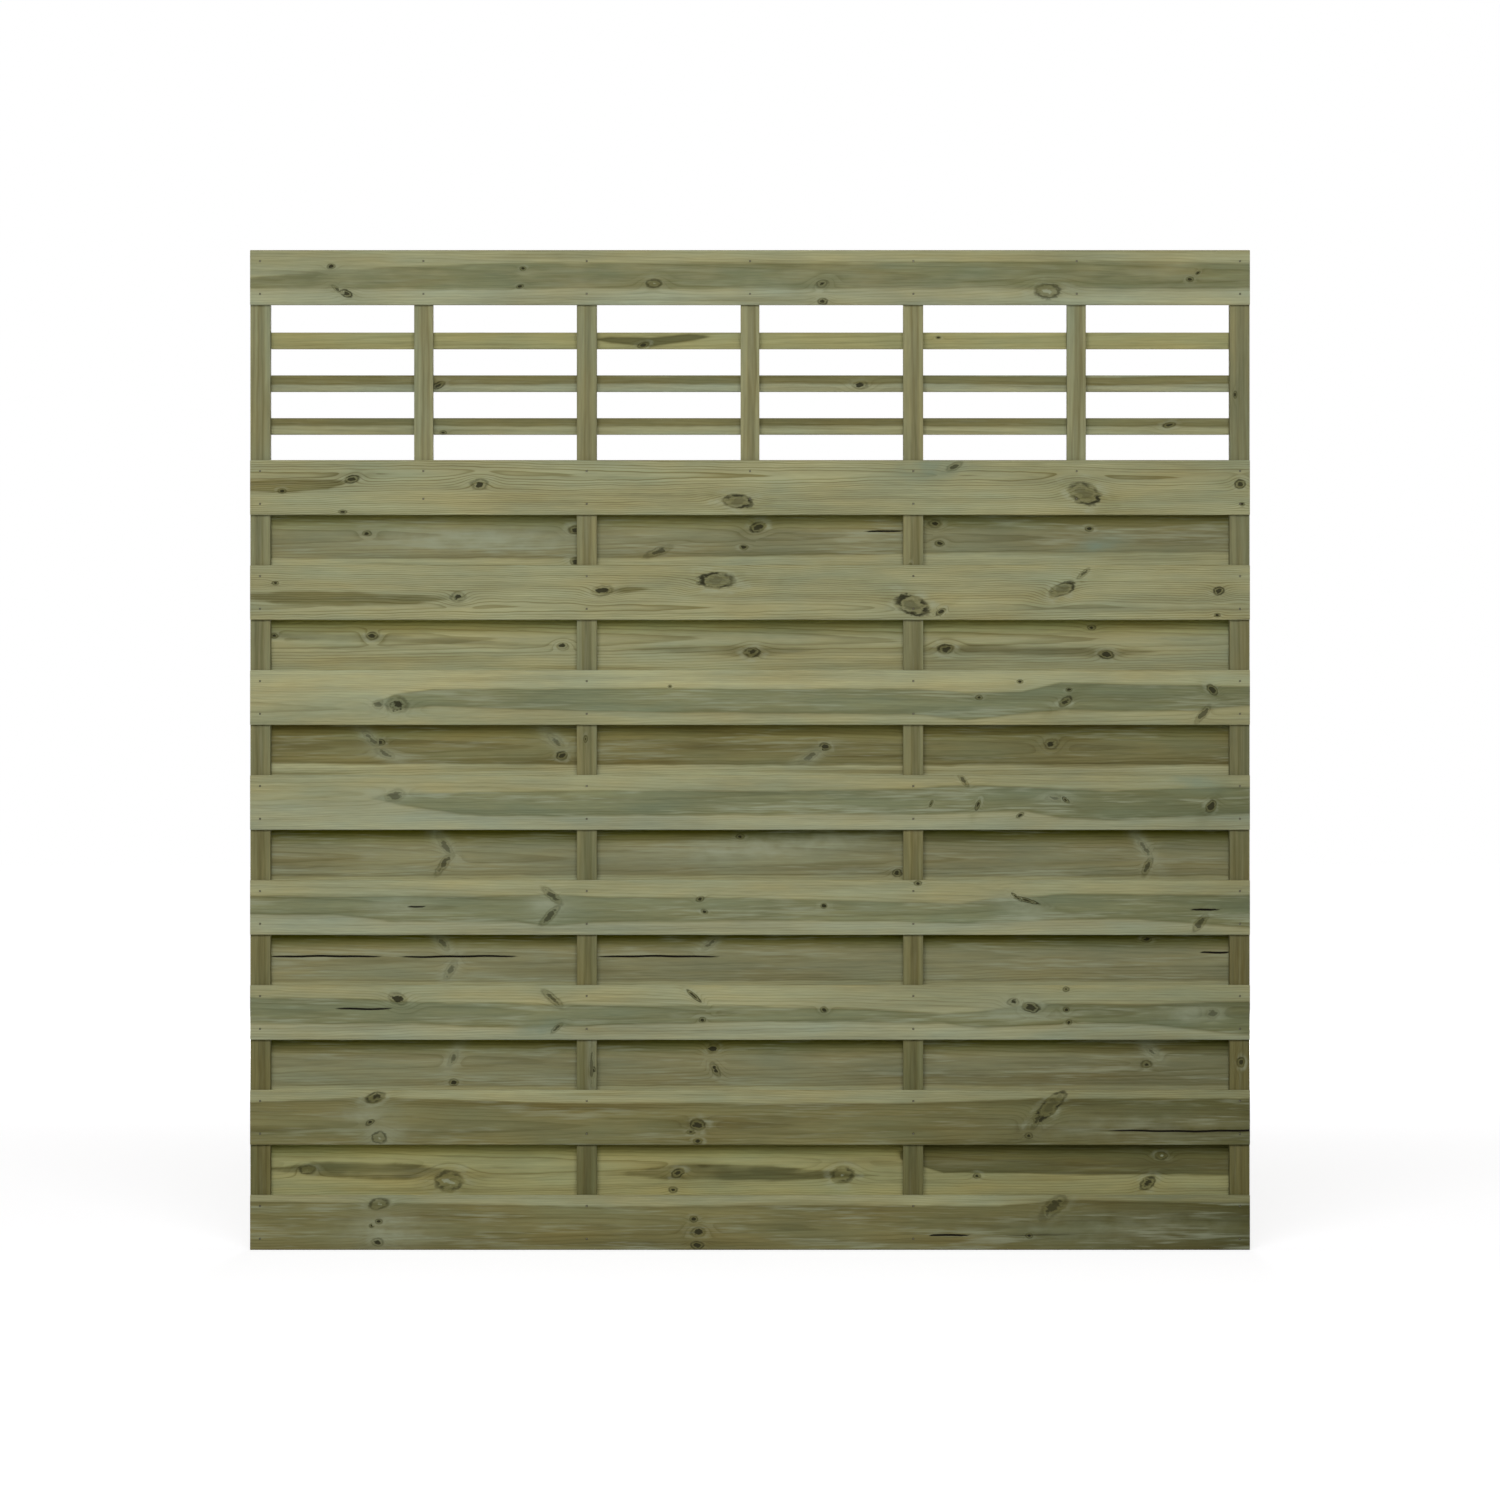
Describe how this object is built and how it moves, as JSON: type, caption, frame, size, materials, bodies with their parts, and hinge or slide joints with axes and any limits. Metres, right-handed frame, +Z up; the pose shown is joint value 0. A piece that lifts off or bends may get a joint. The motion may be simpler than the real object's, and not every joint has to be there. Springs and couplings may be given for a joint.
{
  "type": "openwork fence panel",
  "caption": "Square softwood fence panel: horizontal boards set by turns on the front and the back of uprights, with slats across an open top, for closing a garden side between posts.",
  "frame": {"origin": "middle of the bottom edge of the panel, in the plane through the middle of the frame", "axes": "+X to the right of someone who faces the front, +Y from the front to the back, +Z up"},
  "size_m": [1.8, 0.044, 1.8],
  "materials": {
    "front_wood": "planed, green pressure-treated pine",
    "back_wood": "planed, green pressure-treated pine",
    "slat_wood": "planed, green pressure-treated pine",
    "frame_wood": "planed, grey-green pressure-treated pine",
    "brad_steel": "dulled by weather"
  },
  "bodies": {
    "root": {"upright_1": "frame_wood", "upright_2": "frame_wood", "upright_3": "frame_wood", "upright_4": "frame_wood", "batten_1": "frame_wood", "batten_2": "frame_wood", "batten_3": "frame_wood", "top_rail": "front_wood", "front_board_1": "front_wood", "front_board_2": "front_wood", "front_board_3": "front_wood", "front_board_4": "front_wood", "front_board_5": "front_wood", "front_board_6": "front_wood", "front_board_7": "front_wood", "front_board_8": "front_wood", "back_board_1": "back_wood", "back_board_2": "back_wood", "back_board_3": "back_wood", "back_board_4": "back_wood", "back_board_5": "back_wood", "back_board_6": "back_wood", "back_board_7": "back_wood", "slat_1": "slat_wood", "slat_2": "slat_wood", "slat_3": "slat_wood", "front_board_brads": "brad_steel", "back_board_brads": "brad_steel", "slat_brads": "brad_steel"}
  },
  "joints": []
}
